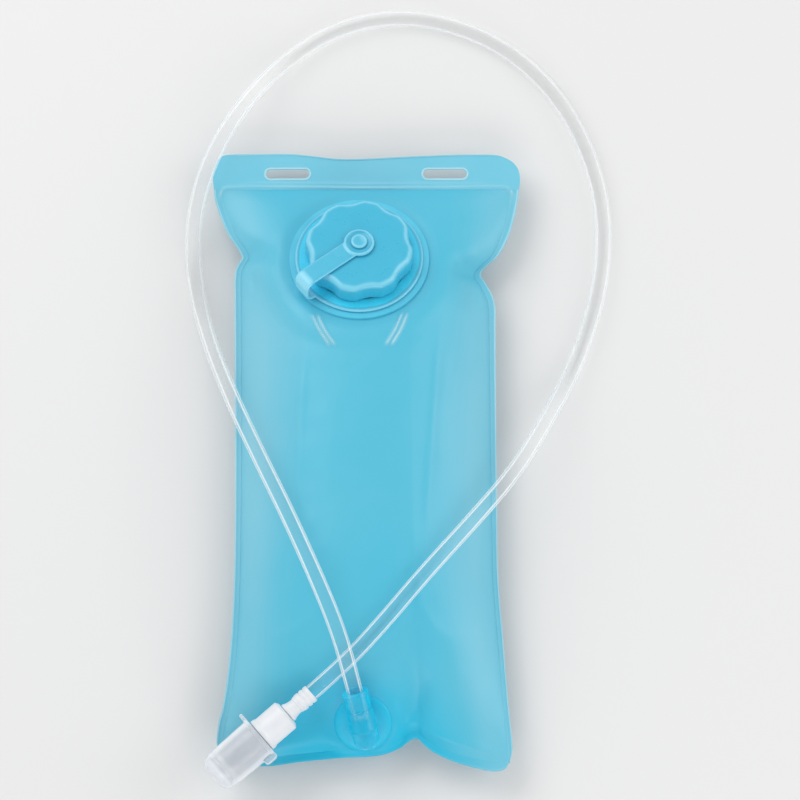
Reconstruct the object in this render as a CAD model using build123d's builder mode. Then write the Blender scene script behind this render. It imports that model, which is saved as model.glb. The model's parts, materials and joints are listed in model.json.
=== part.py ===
"""Hydration bladder: a welded film bag with a wide-mouth screw cap and a drinking hose.

The bag lies on its back. +X is to its right, +Y runs up to its header and +Z points out of its front.
The origin is on the surface it lies on, under the middle of the bag. Lengths are in millimetres.
"""

import os
from math import atan, cos, pi, radians, sin, tan

from build123d import *

os.makedirs("parts", exist_ok=True)

# Bag: two films welded to each other all round, and across below the header
film = 0.7
seam_height = 18.0
header_half_width = 91.5
top_edge = 185.6
weld_line = 166.5
header_corner_radius = 9.0
slot_length = 26.0
slot_width = 5.5
slot_spacing = 94.0
slot_line = 174.5

# Outline of the films below the header weld, right-hand side, with the radius at each inner corner
outline_side = [(91.5, 166.5), (88, 149.5), (72.5, 118), (77.5, 98.5), (77.5, -21.5), (86.9, -186.7), (0, -176)]
outline_radii = [20, 8, 14, 200, 8]

# Filled shape of the chamber: place along the bag, half width, front rise and back depth from the seam
stations = [
    (164.5, 84, 1, 1),
    (156.5, 82.5, 8, 8),
    (139.5, 76, 19, 18.5),
    (119.5, 67.5, 27, 26),
    (98.5, 72.5, 32.5, 29),
    (59.5, 73.5, 34.5, 30),
    (-1.5, 73.5, 34.5, 30),
    (-62.5, 74.5, 33.8, 30),
    (-102.5, 77, 28.6, 28),
    (-122.5, 79, 22.8, 24),
    (-142.5, 80, 15.2, 18.5),
    (-157.5, 81, 9.2, 12),
    (-167.5, 82, 5.2, 6.5),
    (-173.5, 80, 1, 1),
]
chamber_head = 164.5

# Neck and screw cap, measured along the neck's axis from the flat of the front film it is welded to
neck_across = -4.0
neck_along = 118.3
neck_tilt = 20.0
neck_flange_radius = 41.5
neck_flange = 1.6
neck_hole_radius = 24.0
neck_radius = 26.0
neck_bore_radius = 23.0
neck_height = 13.6
thread_lead = 10.0
thread_starts = 2
neck_thread_radius = 27.9
neck_thread_foot = 5.4
neck_thread_turns = 0.65
cap_foot = 4.6
cap_height = 13.0
cap_radius = 32.2
cap_bore_radius = 28.6
cap_thread_radius = 26.7
cap_thread_foot = 6.3
cap_thread_turns = 0.45
cap_top = 2.4
crown_bevel = 2.0
grip_count = 8
grip_radius = 20.0
grip_depth = 2.2
grip_turn = 17.0
grip_round = 2.0
gasket_inner_radius = 22.8
gasket_outer_radius = 28.2
gasket_gap = 0.05
stud_radius = 3.0
stud_head_radius = 4.8
stud_head_height = 1.6
stud_head_round = 0.7

# Cap tether: a ring round the neck, a strap over the cap and an eye on the cap's stud
ring_inner_radius = 30.0
ring_outer_radius = 38.0
ring_foot = 1.9
ring_thickness = 2.0
strap_width = 12.0
strap_thickness = 1.8
strap_reach = 43.5
strap_outer_bend = 4.0
strap_inner_bend = 2.2
strap_angle = 218.0
eye_radius = 9.1
eye_hole_radius = 3.4
tether_gap = 0.3

# Hose, with the points its centre line turns at, from the outlet to the mouthpiece
hose_radius = 4.8
hose_bore_radius = 3.2
hose_route = [
    (-2.5, -156.5, 40.0),
    (-9.0, -132.0, 55.2),
    (-16.8, -106.8, 67.4),
    (-29.2, -76.5, 65.6),
    (-45.1, -39.5, 55.0),
    (-63.5, -0.5, 44.5),
    (-78.8, 33.7, 34.0),
    (-91.2, 65.8, 19.5),
    (-100.0, 97.0, 6.5),
    (-104.0, 125.0, 7.5),
    (-102.6, 149.5, 19.5),
    (-96.0, 172.5, 31.0),
    (-84.0, 198.5, 31.0),
    (-68.0, 224.5, 18.0),
    (-49.0, 246.5, 6.0),
    (-20.0, 267.0, 4.9),
    (18.0, 275.5, 4.9),
    (53.5, 269.5, 4.9),
    (87.0, 253.5, 4.9),
    (115.5, 225.5, 4.9),
    (134.0, 190.0, 4.9),
    (142.8, 152.5, 4.9),
    (141.0, 114.0, 4.9),
    (132.0, 79.5, 4.9),
    (120.0, 50.0, 6.5),
    (105.5, 21.5, 18.5),
    (88.0, -9.5, 33.0),
    (62.0, -42.0, 47.0),
    (35.5, -72.5, 54.5),
    (9.5, -103.5, 54.0),
    (-13.0, -126.7, 45.2),
    (-38.8, -148.7, 42.0),
]

# Outlet port on the front film near its foot
outlet_along = -158.1
outlet_across = -1.5
outlet_tilt = -21.8
outlet_film_height = 27.0
outlet_flange_radius = 17.0
outlet_flange = 1.5
outlet_hole_radius = 4.0
riser_radius = 7.0
riser_height = 8.0
riser_bore_radius = 2.6
riser_bore_depth = 9.0
barrel_radius = 7.75
barrel_behind = 20.0
barrel_bend = 6.0
barrel_ahead = 6.0
barrel_end_round = 5.5
barrel_bore_radius = 2.0
barb_radius = 3.15
barb_reach = 15.0
socket_radius = 4.9
collar_reach = 17.0
collar_radius = 7.6
collar_bore_radius = 4.85
collar_chamfer = 1.0

# Mouthpiece, measured along its axis from the end face of the hose collar
hose_collar_length = 9.4
hose_collar_radius = 5.6
hose_collar_chamfer = 0.4
stem_bore_radius = 1.9
stem_bore_end = 33.6
port_hole_radius = 0.8
port_hole_place = 33.0
o_ring_places = [27.4, 30.2]
o_ring_section = 0.85
o_ring_outer_radius = 5.1
sleeve_foot = 18.6
sleeve_radius = 9.7
sleeve_face = 38.2
sleeve_bore_radius = 5.2
nozzle_radius = 6.0
nozzle_end = 46.0
bite_end = 64.0
cover_gap = 0.6
cover_flange = 2.2
cover_flange_radius = 13.6
cover_radius = 12.5
cover_wall = 0.9
cover_end = 76.0
tab_reach = 15.6
tab_width = 9.0
tab_length = 8.4
eyelet_radius = 3.2
eyelet_hole_radius = 1.5


def unit(vector):
    """Give the vector a length of one."""
    return vector.normalized()


# Planes that the fittings stand on. The neck leans toward the header and the outlet toward the foot.
neck_rise = (chamber_head - neck_along) * tan(radians(neck_tilt))
neck_plane = Plane(
    origin=(neck_across, neck_along, seam_height + neck_rise),
    x_dir=(1, 0, 0),
    z_dir=(0, sin(radians(neck_tilt)), cos(radians(neck_tilt))),
)
outlet_plane = Plane(
    origin=(outlet_across, outlet_along, outlet_film_height),
    x_dir=(1, 0, 0),
    z_dir=(0, sin(radians(outlet_tilt)), cos(radians(outlet_tilt))),
)
route = [Vector(*point) for point in hose_route]
barrel_axis = unit(route[1] - route[0])
mouth_axis = unit(route[-1] - route[-2])
mouth_start = route[-1] - mouth_axis * hose_collar_length


def along_barrel(distance):
    """Plane across the outlet barrel, this far beyond the seat of the hose."""
    return Plane(origin=route[0] + barrel_axis * distance, x_dir=(1, 0, 0), z_dir=barrel_axis)


def along_mouth(distance):
    """Plane across the mouthpiece, this far from the end face of the hose collar."""
    sideways = Vector(0, 0, 1).cross(mouth_axis)
    return Plane(origin=mouth_start + mouth_axis * distance, x_dir=sideways, z_dir=mouth_axis)


# Plane that holds the mouthpiece's axis as its X and the radius as its Y, for turned profiles
mouth_profile = Plane(
    origin=mouth_start,
    x_dir=mouth_axis,
    z_dir=mouth_axis.cross(Vector(0, 0, 1).cross(mouth_axis)),
)
mouth_line = Axis(mouth_start, mouth_axis)


def film_outline(height):
    """Outline of one film below the header weld, at this height."""
    with BuildSketch(Plane.XY.offset(height)) as outline:
        with BuildLine():
            FilletPolyline(*outline_side, radius=outline_radii)
            Line((0, weld_line), outline_side[0])
            mirror(about=Plane.YZ)
        make_face()
    return outline.sketch


def chamber_sections(side, inset):
    """Sections across the filled chamber: side is 1 for the front and -1 for the back."""
    sections = []
    for along, half_width, rise, depth in stations:
        bulge = rise if side > 0 else depth
        if inset and bulge < 4:
            continue
        edge_angle = 2 * atan(bulge / half_width)
        half = half_width - inset / sin(edge_angle)
        height = bulge - inset
        section_plane = Plane(origin=(0, along, seam_height), x_dir=(1, 0, 0), z_dir=(0, -side, 0))
        with BuildSketch(section_plane) as section:
            with BuildLine():
                ThreePointArc((-half, 0), (0, height), (half, 0))
                if inset:
                    Polyline((half, 0), (half, -1), (-half, -1), (-half, 0))
                else:
                    Line((half, 0), (-half, 0))
            make_face()
        sections.append(section.sketch)
    return sections


def thread_ridge(root_radius, crest_radius, turns):
    """One helical ridge about +Z that starts at height 0, with its root a little inside the wall."""
    outward = 1 if crest_radius > root_radius else -1
    depth = abs(crest_radius - root_radius)
    with BuildPart() as ridge:
        with BuildLine() as helix:
            Helix(pitch=thread_lead, height=thread_lead * turns, radius=root_radius)
        start = Plane(origin=helix.line @ 0, x_dir=(outward, 0, 0), z_dir=helix.line % 0)
        with BuildSketch(start):
            Polygon((-0.4, -1.2), (depth, -0.6), (depth, 0.6), (-0.4, 1.2), align=None)
        sweep(path=helix.line, is_frenet=True)
    return ridge.part


# Inside of the chamber, taken out of the films
with BuildPart() as front_space:
    loft(chamber_sections(1, film))
    split(bisect_by=neck_plane.offset(-film), keep=Keep.BOTTOM)
    split(bisect_by=outlet_plane.offset(-film), keep=Keep.BOTTOM)

with BuildPart() as back_space:
    loft(chamber_sections(-1, film))
    split(bisect_by=Plane.XY.offset(film), keep=Keep.TOP)

# Front film: the bulging panel that carries the neck and the outlet
with BuildPart() as front_film:
    loft(chamber_sections(1, 0))
    split(bisect_by=neck_plane, keep=Keep.BOTTOM)
    split(bisect_by=outlet_plane, keep=Keep.BOTTOM)
    extrude(film_outline(seam_height), amount=film)
    add(front_space.part, mode=Mode.SUBTRACT)
    with BuildSketch(neck_plane.offset(-2 * film)):
        Circle(neck_hole_radius)
    extrude(amount=4 * film, mode=Mode.SUBTRACT)
    with BuildSketch(outlet_plane.offset(-2 * film)):
        Circle(outlet_hole_radius)
    extrude(amount=4 * film, mode=Mode.SUBTRACT)
front_film.part.label = "front_film"
export_step(front_film.part, "parts/front_film.step")

# Back film: the panel the bag rests on, flattened where it lies
with BuildPart() as back_film:
    loft(chamber_sections(-1, 0))
    split(bisect_by=Plane.XY, keep=Keep.TOP)
    extrude(film_outline(seam_height - film), amount=film)
    add(back_space.part, mode=Mode.SUBTRACT)
back_film.part.label = "back_film"
export_step(back_film.part, "parts/back_film.step")

# Header strip: both films fused flat above the weld line, with the two hanging slots
with BuildPart() as header_strip:
    with BuildSketch(Plane.XY.offset(seam_height - film)) as header_sketch:
        with Locations((0, (weld_line + top_edge) / 2)):
            Rectangle(2 * header_half_width, top_edge - weld_line)
        fillet(header_sketch.vertices().group_by(Axis.Y)[-1], header_corner_radius)
        with Locations((-slot_spacing / 2, slot_line), (slot_spacing / 2, slot_line)):
            SlotOverall(slot_length, slot_width, mode=Mode.SUBTRACT)
    extrude(amount=2 * film)
header_strip.part.label = "header_strip"
export_step(header_strip.part, "parts/header_strip.step")

# Neck: a broad flange welded to the film, and a short threaded spout
with BuildPart() as neck_spout:
    with BuildSketch(neck_plane):
        Circle(neck_flange_radius)
    extrude(amount=neck_flange)
    with BuildSketch(neck_plane):
        Circle(neck_radius)
    extrude(amount=neck_height)
    with BuildSketch(neck_plane):
        Circle(neck_bore_radius)
    extrude(amount=neck_height, mode=Mode.SUBTRACT)
    with Locations(neck_plane.offset(neck_thread_foot)):
        with PolarLocations(0, thread_starts):
            add(thread_ridge(neck_radius, neck_thread_radius, neck_thread_turns))
neck_spout.part.label = "neck_spout"
export_step(neck_spout.part, "parts/neck_spout.step")

# Cap: a skirt with a scalloped grip, and a stud on top for the tether's eye
cap_crown = cap_foot + cap_height
with BuildPart() as cap:
    with BuildSketch(neck_plane.offset(cap_foot)) as grip:
        Circle(cap_radius)
        with PolarLocations(cap_radius - grip_depth + grip_radius, grip_count, start_angle=grip_turn):
            Circle(grip_radius, mode=Mode.SUBTRACT)
        fillet(grip.vertices(), grip_round)
    extrude(amount=cap_height)
    crown_edges = cap.faces().sort_by(Axis(neck_plane.origin, neck_plane.z_dir))[-1].outer_wire().edges()
    chamfer(crown_edges, crown_bevel)
    with BuildSketch(neck_plane.offset(cap_foot)):
        Circle(cap_bore_radius)
    extrude(amount=cap_height - cap_top, mode=Mode.SUBTRACT)
    with Locations(neck_plane.offset(cap_thread_foot)):
        with PolarLocations(0, thread_starts, start_angle=-60):
            add(thread_ridge(cap_bore_radius, cap_thread_radius, cap_thread_turns))
    with BuildSketch(neck_plane.offset(cap_crown)):
        Circle(stud_radius)
    extrude(amount=2 * tether_gap + strap_thickness)
    with BuildSketch(neck_plane.offset(cap_crown + 2 * tether_gap + strap_thickness)):
        Circle(stud_head_radius)
    extrude(amount=stud_head_height)
    fillet(cap.edges().sort_by(Axis(neck_plane.origin, neck_plane.z_dir))[-1], stud_head_round)
cap.part.label = "cap"
export_step(cap.part, "parts/cap.step")

# Gasket that the cap presses on the rim of the neck
with BuildPart() as cap_gasket:
    with BuildSketch(neck_plane.offset(neck_height + gasket_gap)):
        Circle(gasket_outer_radius)
        Circle(gasket_inner_radius, mode=Mode.SUBTRACT)
    extrude(amount=cap_crown - cap_top - neck_height - gasket_gap)
cap_gasket.part.label = "cap_gasket"
export_step(cap_gasket.part, "parts/cap_gasket.step")

# Tether: ring, strap and eye in one soft moulding
strap_foot = cap_crown + tether_gap
strap_crest = strap_foot + strap_thickness
strap_leg = strap_reach - strap_thickness
ring_crest = ring_foot + ring_thickness
ring_middle = (ring_inner_radius + ring_outer_radius) / 2
strap_turn = radians(strap_angle)
strap_way = neck_plane.x_dir * cos(strap_turn) + neck_plane.y_dir * sin(strap_turn)
strap_side = Plane(origin=neck_plane.origin, x_dir=strap_way, z_dir=strap_way.cross(neck_plane.z_dir))
with BuildPart() as cap_tether:
    with BuildSketch(neck_plane.offset(ring_foot)):
        Circle(ring_outer_radius)
        Circle(ring_inner_radius, mode=Mode.SUBTRACT)
    extrude(amount=ring_thickness)
    with BuildSketch(strap_side):
        with BuildLine():
            FilletPolyline(
                (0, strap_crest),
                (strap_reach, strap_crest),
                (strap_reach, ring_foot),
                (ring_middle, ring_foot),
                radius=strap_outer_bend,
            )
            Line((ring_middle, ring_foot), (ring_middle, ring_crest))
            FilletPolyline(
                (ring_middle, ring_crest),
                (strap_leg, ring_crest),
                (strap_leg, strap_foot),
                (0, strap_foot),
                radius=strap_inner_bend,
            )
            Line((0, strap_foot), (0, strap_crest))
        make_face()
    extrude(amount=strap_width / 2, both=True)
    with BuildSketch(neck_plane.offset(strap_foot)):
        Circle(eye_radius)
    extrude(amount=strap_thickness)
    with BuildSketch(neck_plane.offset(strap_foot)):
        Circle(eye_hole_radius)
    extrude(amount=strap_thickness, mode=Mode.SUBTRACT)
cap_tether.part.label = "cap_tether"
export_step(cap_tether.part, "parts/cap_tether.step")

# Outlet port: a flange welded to the film, a riser and a barrel that turns up the bag to the hose
with BuildPart() as outlet_port:
    with BuildSketch(along_barrel(-barrel_behind)):
        Circle(barrel_radius)
    extrude(amount=barrel_behind + barrel_ahead)
    back_rim = outlet_port.edges().sort_by(Axis(route[0], barrel_axis))[0]
    fillet(back_rim, barrel_end_round)
    with BuildSketch(outlet_plane):
        Circle(riser_radius)
    extrude(amount=riser_height)
    with BuildSketch(outlet_plane):
        Circle(outlet_flange_radius)
    extrude(amount=outlet_flange)
    split(bisect_by=outlet_plane, keep=Keep.TOP)
    with BuildSketch(along_barrel(0)):
        Circle(socket_radius)
        Circle(barb_radius, mode=Mode.SUBTRACT)
    extrude(amount=barrel_ahead, mode=Mode.SUBTRACT)
    with BuildSketch(along_barrel(barrel_ahead)):
        Circle(barb_radius)
    extrude(amount=barb_reach - barrel_ahead)
    with BuildSketch(along_barrel(-barrel_bend)):
        Circle(barrel_bore_radius)
    extrude(amount=barrel_bend + barb_reach, mode=Mode.SUBTRACT)
    with BuildSketch(outlet_plane):
        Circle(riser_bore_radius)
    extrude(amount=riser_bore_depth, mode=Mode.SUBTRACT)
outlet_port.part.label = "outlet_port"
export_step(outlet_port.part, "parts/outlet_port.step")

# Locking collar that grips the hose on the outlet's barb
with BuildPart() as outlet_collar:
    with BuildSketch(along_barrel(barrel_ahead)):
        Circle(collar_radius)
    extrude(amount=collar_reach - barrel_ahead)
    chamfer(outlet_collar.edges().sort_by(Axis(route[0], barrel_axis))[-1], collar_chamfer)
    with BuildSketch(along_barrel(barrel_ahead)):
        Circle(collar_bore_radius)
    extrude(amount=collar_reach - barrel_ahead, mode=Mode.SUBTRACT)
outlet_collar.part.label = "outlet_collar"
export_step(outlet_collar.part, "parts/outlet_collar.step")

# Hose: straight runs joined by the largest arcs that they allow
corner_radii = []
for before, corner, after in zip(route, route[1:], route[2:]):
    run_in = corner - before
    run_out = after - corner
    half_turn = radians(run_in.get_angle(run_out)) / 2
    corner_radii.append(0.45 * min(run_in.length, run_out.length) / tan(half_turn))
with BuildPart() as hose:
    with BuildLine() as hose_line:
        FilletPolyline(*route, radius=corner_radii)
    with BuildSketch(along_barrel(0)):
        Circle(hose_radius)
        Circle(hose_bore_radius, mode=Mode.SUBTRACT)
    sweep(path=hose_line.line)
hose.part.label = "hose"
export_step(hose.part, "parts/hose.step")
hose_length = sum(edge.length for edge in hose_line.edges())
hose_section = pi * (hose_radius**2 - hose_bore_radius**2)
print("hose corner radii", [round(radius, 1) for radius in corner_radii])
print("hose length", round(hose_length, 1), "volume over section times length",
      round(hose.part.volume / (hose_section * hose_length), 4))

# Collar on the mouthpiece end of the hose
with BuildPart() as hose_collar:
    with BuildSketch(along_mouth(0)):
        Circle(hose_collar_radius)
        Circle(collar_bore_radius, mode=Mode.SUBTRACT)
    extrude(amount=hose_collar_length)
    outer_rim = hose_collar.edges().group_by(Axis(mouth_start, mouth_axis))[0].sort_by(SortBy.RADIUS)[-1]
    chamfer(outer_rim, hose_collar_chamfer)
hose_collar.part.label = "hose_collar"
export_step(hose_collar.part, "parts/hose_collar.step")

# Valve stem: barb, shoulder, neck, flanges that hold the O-rings, and the plug that closes the nozzle
with BuildPart() as valve_stem:
    with BuildSketch(mouth_profile):
        with BuildLine():
            Polyline(
                (1.0, 0),
                (1.0, 2.6),
                (2.0, barb_radius),
                (hose_collar_length, barb_radius),
                (hose_collar_length, 5.2),
                (10.6, 5.2),
                (11.4, 4.7),
                (13.2, 4.7),
                (15.6, 5.2),
                (17.0, 5.9),
                (18.2, 5.9),
                (18.2, 4.4),
                (25.5, 4.4),
                (25.5, 5.0),
                (26.5, 5.0),
                (26.5, 3.4),
                (28.3, 3.4),
                (28.3, 5.0),
                (29.3, 5.0),
                (29.3, 3.4),
                (31.1, 3.4),
                (31.1, 5.0),
                (32.1, 5.0),
                (32.1, 2.4),
                (36.5, 2.4),
                (36.5, 0),
                close=True,
            )
        make_face()
    revolve(axis=mouth_line)
    with BuildSketch(along_mouth(1.0)):
        Circle(stem_bore_radius)
    extrude(amount=stem_bore_end - 1.0, mode=Mode.SUBTRACT)
    with BuildSketch(Plane(origin=mouth_start + mouth_axis * port_hole_place, z_dir=mouth_profile.z_dir)):
        Circle(port_hole_radius)
    extrude(amount=4, both=True, mode=Mode.SUBTRACT)
valve_stem.part.label = "valve_stem"
export_step(valve_stem.part, "parts/valve_stem.step")

# O-rings in the grooves of the stem
with BuildPart() as stem_o_rings:
    with BuildSketch(mouth_profile):
        for place in o_ring_places:
            with Locations((place, o_ring_outer_radius - o_ring_section)):
                Circle(o_ring_section)
    revolve(axis=mouth_line)
stem_o_rings.part.label = "stem_o_rings"
export_step(stem_o_rings.part, "parts/stem_o_rings.step")

# Valve sleeve: the white grip that is pulled out to open the valve, with the nozzle for the bite valve
with BuildPart() as valve_sleeve:
    with BuildSketch(mouth_profile):
        with BuildLine():
            Polyline(
                (sleeve_foot, 4.75),
                (sleeve_foot, 7.6),
                (sleeve_foot + 1.4, sleeve_radius),
                (34.8, sleeve_radius),
                (36.2, 10.4),
                (sleeve_face, 10.4),
                (sleeve_face, nozzle_radius),
                (nozzle_end, nozzle_radius),
                (nozzle_end, 2.7),
                (34.2, 2.7),
                (34.2, sleeve_bore_radius),
                (21.2, sleeve_bore_radius),
                (21.2, 4.75),
                close=True,
            )
        make_face()
    revolve(axis=mouth_line)
valve_sleeve.part.label = "valve_sleeve"
export_step(valve_sleeve.part, "parts/valve_sleeve.step")

# Bite valve: a soft nipple that flattens toward its slit
with BuildPart() as bite_valve:
    with BuildSketch(along_mouth(sleeve_face)):
        Circle(9.0)
    with BuildSketch(along_mouth(nozzle_end)):
        Ellipse(8.6, 7.8)
    with BuildSketch(along_mouth(bite_end)):
        Ellipse(9.4, 5.0)
    loft()
    with BuildSketch(along_mouth(sleeve_face)):
        Circle(nozzle_radius + 0.05)
    extrude(amount=nozzle_end - sleeve_face, mode=Mode.SUBTRACT)
    with BuildSketch(along_mouth(nozzle_end)):
        Ellipse(5.6, 4.6)
    with BuildSketch(along_mouth(bite_end - 3)):
        Ellipse(6.4, 2.2)
    loft(mode=Mode.SUBTRACT)
    with BuildSketch(along_mouth(bite_end - 4)):
        Rectangle(9.0, 0.5)
    extrude(amount=4, mode=Mode.SUBTRACT)
bite_valve.part.label = "bite_valve"
export_step(bite_valve.part, "parts/bite_valve.step")

# Dust cover: a frosted cup over the bite valve, with a flange, a pull tab and a cord eyelet
cover_inner_radius = cover_radius - cover_wall
cover_foot = sleeve_face + cover_gap
with BuildPart() as dust_cover:
    with BuildSketch(mouth_profile):
        with BuildLine():
            Polyline(
                (cover_foot, cover_inner_radius),
                (cover_foot, cover_flange_radius),
                (cover_foot + cover_flange, cover_flange_radius),
                (cover_foot + cover_flange, cover_radius + 0.2),
                (cover_end - 6.6, cover_radius - 0.3),
                (cover_end - 6.6, cover_radius - 0.9),
                (cover_end - 3.4, cover_radius - 1.1),
            )
            ThreePointArc(
                (cover_end - 3.4, cover_radius - 1.1),
                (cover_end - 0.9, cover_radius - 2.3),
                (cover_end, cover_radius - 5.2),
            )
            Polyline(
                (cover_end, cover_radius - 5.2),
                (cover_end, 0),
                (cover_end - 1.1, 0),
                (cover_end - 1.1, cover_radius - 5.6),
                (cover_end - 4.6, cover_radius - 2.1),
                (cover_foot, cover_inner_radius),
            )
        make_face()
    revolve(axis=mouth_line)
    with BuildSketch(along_mouth(cover_foot)):
        with Locations((tab_reach / 2, 0)):
            RectangleRounded(tab_reach, tab_width, 2.0)
        Circle(cover_radius - 0.4, mode=Mode.SUBTRACT)
    extrude(amount=tab_length)
    with BuildSketch(along_mouth(cover_foot)):
        with Locations((-cover_flange_radius, 0)):
            Circle(eyelet_radius)
            Circle(eyelet_hole_radius, mode=Mode.SUBTRACT)
        Circle(cover_radius - 0.4, mode=Mode.SUBTRACT)
    extrude(amount=cover_flange)
dust_cover.part.label = "dust_cover"
export_step(dust_cover.part, "parts/dust_cover.step")
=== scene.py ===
"""Looks of the hydration bladder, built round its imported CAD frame.

Blender's places are in metres. All pieces but the hose are drawn in millimetres and scaled by MM.
"""

import json
from math import copysign, cos, pi, radians, sin, tan

import bmesh
import bpy
import numpy as np
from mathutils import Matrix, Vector, noise


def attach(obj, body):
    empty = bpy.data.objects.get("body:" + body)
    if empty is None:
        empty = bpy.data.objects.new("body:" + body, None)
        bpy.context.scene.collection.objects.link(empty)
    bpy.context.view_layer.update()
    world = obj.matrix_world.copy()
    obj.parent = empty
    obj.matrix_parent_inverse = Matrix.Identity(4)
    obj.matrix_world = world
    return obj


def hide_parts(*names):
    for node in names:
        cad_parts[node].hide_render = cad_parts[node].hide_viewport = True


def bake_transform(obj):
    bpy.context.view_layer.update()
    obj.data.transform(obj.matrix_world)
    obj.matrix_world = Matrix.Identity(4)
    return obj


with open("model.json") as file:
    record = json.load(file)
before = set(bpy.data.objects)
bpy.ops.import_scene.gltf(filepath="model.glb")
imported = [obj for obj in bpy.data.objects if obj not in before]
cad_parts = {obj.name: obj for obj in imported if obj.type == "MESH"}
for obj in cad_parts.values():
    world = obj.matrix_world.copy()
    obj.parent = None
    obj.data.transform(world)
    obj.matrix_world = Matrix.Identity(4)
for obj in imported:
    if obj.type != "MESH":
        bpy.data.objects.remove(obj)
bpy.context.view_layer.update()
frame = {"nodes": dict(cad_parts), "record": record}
nodes = frame["nodes"]
MM = 0.001
SHARP_ANGLE = radians(50)
# In millimetres: how far from its axis a turned shape ends, and how close points are made one
AXIS_GAP = 0.02
MERGE = 0.03
# Brightness of the room level with the bag and overhead, and of the floor
WALL_GLOW = 1.12
CEILING_GLOW = 0.45
FLOOR_TONE = 0.77


# ---------------------------------------------------------------- camera, light and floor
def place_camera():
    """Camera far above and a little toward the foot of the bag, with a long lens."""
    target = Vector((0.0202, 0.0369, 0.018))
    distance = 4.0
    lean = radians(79)
    data = bpy.data.cameras.new("camera")
    data.sensor_width = 36.0
    data.lens = 303.0
    camera = bpy.data.objects.new("camera", data)
    camera.location = target + distance * Vector((0, -cos(lean), sin(lean)))
    camera.rotation_euler = (target - camera.location).to_track_quat("-Z", "Y").to_euler()
    bpy.context.collection.objects.link(camera)
    bpy.context.scene.camera = camera


def area_light(name, place, size, power):
    """Soft rectangular studio light that looks at the middle of the bag."""
    middle = Vector((0, 0.02, 0))
    data = bpy.data.lights.new(name, "AREA")
    data.shape = "RECTANGLE"
    data.size, data.size_y = size
    data.energy = power
    light = bpy.data.objects.new(name, data)
    light.location = place
    light.rotation_euler = (middle - Vector(place)).to_track_quat("-Z", "Y").to_euler()
    bpy.context.collection.objects.link(light)


def place_lights():
    """White room, brighter round its walls than overhead, with three soft boxes above the bag."""
    world = bpy.data.worlds.new("studio")
    world.use_nodes = True
    tree = world.node_tree
    background = tree.nodes["Background"]
    background.inputs["Color"].default_value = (1.0, 1.0, 1.0, 1)
    way = tree.nodes.new("ShaderNodeTexCoord")
    parts = tree.nodes.new("ShaderNodeSeparateXYZ")
    glow = tree.nodes.new("ShaderNodeMapRange")
    for name, number in (("From Min", 0.0), ("From Max", 0.9),
                         ("To Min", WALL_GLOW), ("To Max", CEILING_GLOW)):
        glow.inputs[name].default_value = number
    tree.links.new(way.outputs["Generated"], parts.inputs["Vector"])
    tree.links.new(parts.outputs["Z"], glow.inputs["Value"])
    tree.links.new(glow.outputs["Result"], background.inputs["Strength"])
    bpy.context.scene.world = world
    bpy.context.scene.view_settings.view_transform = "Standard"
    area_light("key", place=(-0.75, 0.85, 1.15), size=(1.3, 1.0), power=10.4)
    area_light("fill", place=(1.15, 0.1, 0.9), size=(1.0, 0.8), power=4.4)
    area_light("foot", place=(0.1, -1.15, 0.9), size=(1.2, 0.6), power=4.4)


def place_floor():
    """Plain pale floor."""
    bpy.ops.mesh.primitive_plane_add(size=8, location=(0, 0, 0))
    floor = bpy.context.object
    floor.name = "floor"
    paint = new_material("floor_white")
    shader = paint.node_tree.nodes["Principled BSDF"]
    shader.inputs["Base Color"].default_value = (FLOOR_TONE, FLOOR_TONE, FLOOR_TONE, 1)
    shader.inputs["Roughness"].default_value = 0.8
    floor.data.materials.append(paint)


# ---------------------------------------------------------------- materials
def srgb(red, green, blue):
    """Linear colour of an sRGB one, given from 0 to 255."""
    def linear(value):
        value /= 255
        return value / 12.92 if value <= 0.04045 else ((value + 0.055) / 1.055) ** 2.4
    return (linear(red), linear(green), linear(blue), 1.0)


def new_material(name):
    """Material with only its Principled shader."""
    paint = bpy.data.materials.new(name)
    paint.use_nodes = True
    return paint


def grain(paint, scale, detail=3.0):
    """Noise over the piece, in its own space."""
    tree = paint.node_tree
    place = tree.nodes.new("ShaderNodeTexCoord")
    texture = tree.nodes.new("ShaderNodeTexNoise")
    texture.inputs["Scale"].default_value = scale
    texture.inputs["Detail"].default_value = detail
    tree.links.new(place.outputs["Object"], texture.inputs["Vector"])
    return texture.outputs["Fac"]


def spread(paint, value, low, high, start=0.3, end=0.7):
    """Value between low and high as another goes from start to end."""
    tree = paint.node_tree
    step = tree.nodes.new("ShaderNodeMapRange")
    for name, number in (("From Min", start), ("From Max", end), ("To Min", low), ("To Max", high)):
        step.inputs[name].default_value = number
    tree.links.new(value, step.inputs["Value"])
    return step.outputs["Result"]


def clouded(paint, cloud, light, dark):
    """Colour that drifts between two colours in clouds of this scale."""
    tree = paint.node_tree
    mix = tree.nodes.new("ShaderNodeMix")
    mix.data_type = "RGBA"
    first, second, mixture = mix.inputs[6], mix.inputs[7], mix.outputs[2]
    first.default_value = dark
    second.default_value = light
    tree.links.new(spread(paint, grain(paint, cloud), 0, 1), mix.inputs["Factor"])
    return mixture


def bumped(paint, layers):
    """Bump from several noises, each with its scale, strength and depth."""
    tree = paint.node_tree
    normal = None
    for scale, strength, depth in layers:
        bump = tree.nodes.new("ShaderNodeBump")
        bump.inputs["Strength"].default_value = strength
        bump.inputs["Distance"].default_value = depth
        tree.links.new(grain(paint, scale, detail=4.0), bump.inputs["Height"])
        if normal is not None:
            tree.links.new(normal, bump.inputs["Normal"])
        normal = bump.outputs["Normal"]
    tree.links.new(normal, tree.nodes["Principled BSDF"].inputs["Normal"])


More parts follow.
